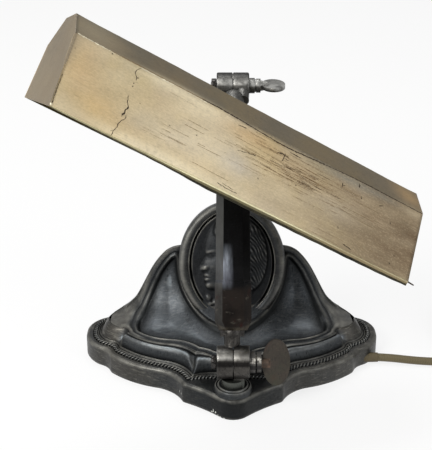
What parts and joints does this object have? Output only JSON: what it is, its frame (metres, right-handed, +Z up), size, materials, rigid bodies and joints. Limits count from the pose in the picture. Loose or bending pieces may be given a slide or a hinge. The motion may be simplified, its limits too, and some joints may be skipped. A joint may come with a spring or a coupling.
{
  "type": "piano lamp",
  "caption": "Piano lamp with a scalloped cast base, oval relief medallion, hinged arm with thumbscrews and a tilting folded brass trough shade.",
  "frame": {"origin": "middle of the underside of the felt pad, on the table", "axes": "+Z up, +Y towards the mantel at the back, +X to the right seen from the front"},
  "size_m": [0.356, 0.218, 0.2496],
  "materials": {
    "gunmetal": "satin",
    "felt": "matte",
    "relief": "matte",
    "steel": "satin",
    "bronze": "satin",
    "aged_brass": "satin",
    "cap_brass": "satin",
    "porcelain": "matte",
    "glass": "polished",
    "wire": "satin",
    "cord_cloth": "matte",
    "plug_black": "satin"
  },
  "bodies": {
    "base": {"base_casting": "gunmetal", "felt_pad": "felt", "medallion_plaque": "gunmetal", "strain_relief": "relief", "post": "steel", "post_washer": "steel", "post_nut": "steel", "cord": "cord_cloth", "cord_coil": "cord_cloth", "cord_tail": "cord_cloth", "plug_body": "plug_black", "plug_blade_left": "cap_brass", "plug_blade_right": "cap_brass"},
    "arm": {"lower_eye": "steel", "upper_eye": "steel", "arm_casting": "gunmetal", "lower_friction_washer": "bronze", "upper_friction_washer": "bronze"},
    "lower_screw": {"lower_thumbscrew": "bronze", "lower_screw_nut": "steel"},
    "upper_screw": {"upper_thumbscrew": "steel", "upper_screw_nut": "steel"},
    "shade_bracket": {"bracket_eye": "steel", "swivel_stud": "steel", "swivel_spring_washer": "steel", "swivel_nut": "steel"},
    "shade": {"shade_shell": "aged_brass", "end_cap_left": "cap_brass", "end_cap_right": "cap_brass", "stiffening_plate": "cap_brass", "socket_strap": "cap_brass", "socket_shell": "cap_brass", "socket_insulator": "porcelain", "socket_contact": "cap_brass", "bulb_cap": "cap_brass", "bulb_glass": "glass", "lamp_stem": "glass", "filament": "wire"},
    "key": {"switch_key": "plug_black"}
  },
  "joints": [
    {"name": "arm_hinge", "type": "hinge", "parent": "base", "child": "arm", "pos_m": [0, -0.05, 0.0336], "axis": [1, 0, 0], "range_deg": [-10, 50]},
    {"name": "shade_tilt", "type": "hinge", "parent": "arm", "child": "shade_bracket", "pos_m": [0, 0.03274, 0.18348], "axis": [1, 0, 0], "range_deg": [-60, 2]},
    {"name": "shade_swivel", "type": "hinge", "parent": "shade_bracket", "child": "shade", "pos_m": [0, 0.03274, 0.18348], "axis": [0, 0.9432, 0.3322], "range_deg": [-60, 2]},
    {"name": "lower_screw_turn", "type": "hinge", "parent": "base", "child": "lower_screw", "pos_m": [0, -0.05, 0.0336], "axis": [1, 0, 0], "range_deg": [-180, 180]},
    {"name": "upper_screw_turn", "type": "hinge", "parent": "arm", "child": "upper_screw", "pos_m": [0, 0.03274, 0.18348], "axis": [1, 0, 0], "range_deg": [-180, 180]},
    {"name": "switch_key_turn", "type": "hinge", "parent": "shade", "child": "key", "pos_m": [-0.08895, -0.0549, 0.20516], "axis": [0.4312, 0.3788, 0.8189], "range_deg": [0, 90]}
  ]
}
